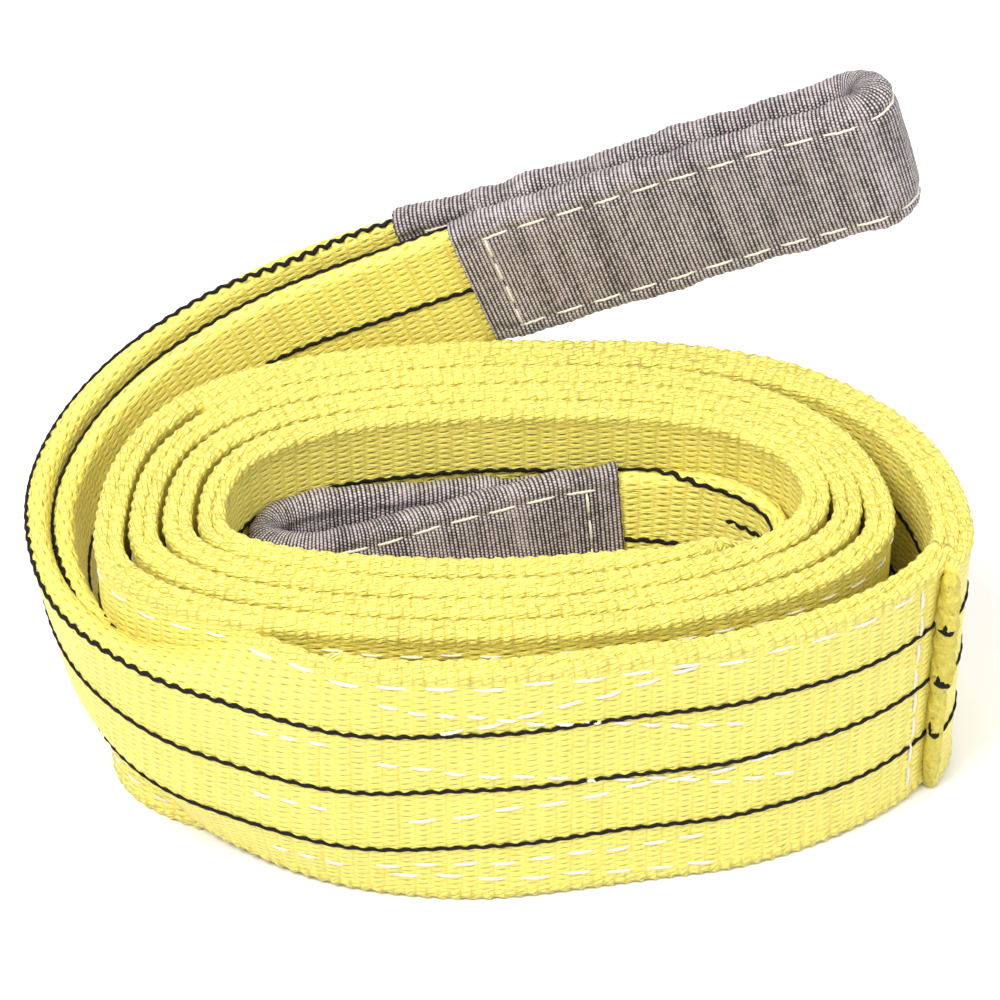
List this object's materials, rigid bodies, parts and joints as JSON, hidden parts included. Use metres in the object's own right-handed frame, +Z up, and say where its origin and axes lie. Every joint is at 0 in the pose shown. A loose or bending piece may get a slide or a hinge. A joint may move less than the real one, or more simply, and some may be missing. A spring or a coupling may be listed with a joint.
{
  "type": "flat web sling",
  "caption": "Duplex flat web lifting sling with sleeved soft eyes, rolled on edge into an oval coil, with one eye standing free behind it.",
  "frame": {"origin": "on the supporting surface, under the middle of the whole object's box", "axes": "+X along the coil's long axis, towards the bight of the free eye; +Y from the front of the coil to the free eye behind it; +Z up"},
  "size_m": [0.289, 0.194, 0.1771],
  "materials": {
    "web_yellow": "ribbed woven polyester webbing, slight sheen",
    "sealed_end": "heat-melted polyester edge",
    "sleeve_grey": "ribbed woven polyester sleeve",
    "sewing_thread": "twisted polyester thread",
    "marker_yarn": "black twisted yarn"
  },
  "bodies": {
    "coil": {"body_outer_ply": "web_yellow", "body_inner_ply": "web_yellow", "splice_tail": "web_yellow", "sealed_web_ends": "sealed_end", "outer_leg_root": "web_yellow", "inner_leg_root": "web_yellow", "inner_eye_web": "web_yellow", "inner_eye_legs": "web_yellow", "inner_eye_sleeve": "sleeve_grey", "inner_sleeve_seams": "sewing_thread", "splice_seams": "sewing_thread", "edge_seams": "sewing_thread", "marker_yarns": "marker_yarn"},
    "outer_eye": {"outer_leg_end": "web_yellow", "inner_leg_end": "web_yellow", "outer_eye_web": "web_yellow", "outer_eye_sleeve": "sleeve_grey", "outer_sleeve_seams": "sewing_thread"}
  },
  "joints": [
    {"name": "outer_eye_swing", "type": "hinge", "parent": "coil", "child": "outer_eye", "pos_m": [-0.1134, 0.0714, 0.05], "axis": [0, 0, 1], "range_deg": [0, 60]}
  ]
}
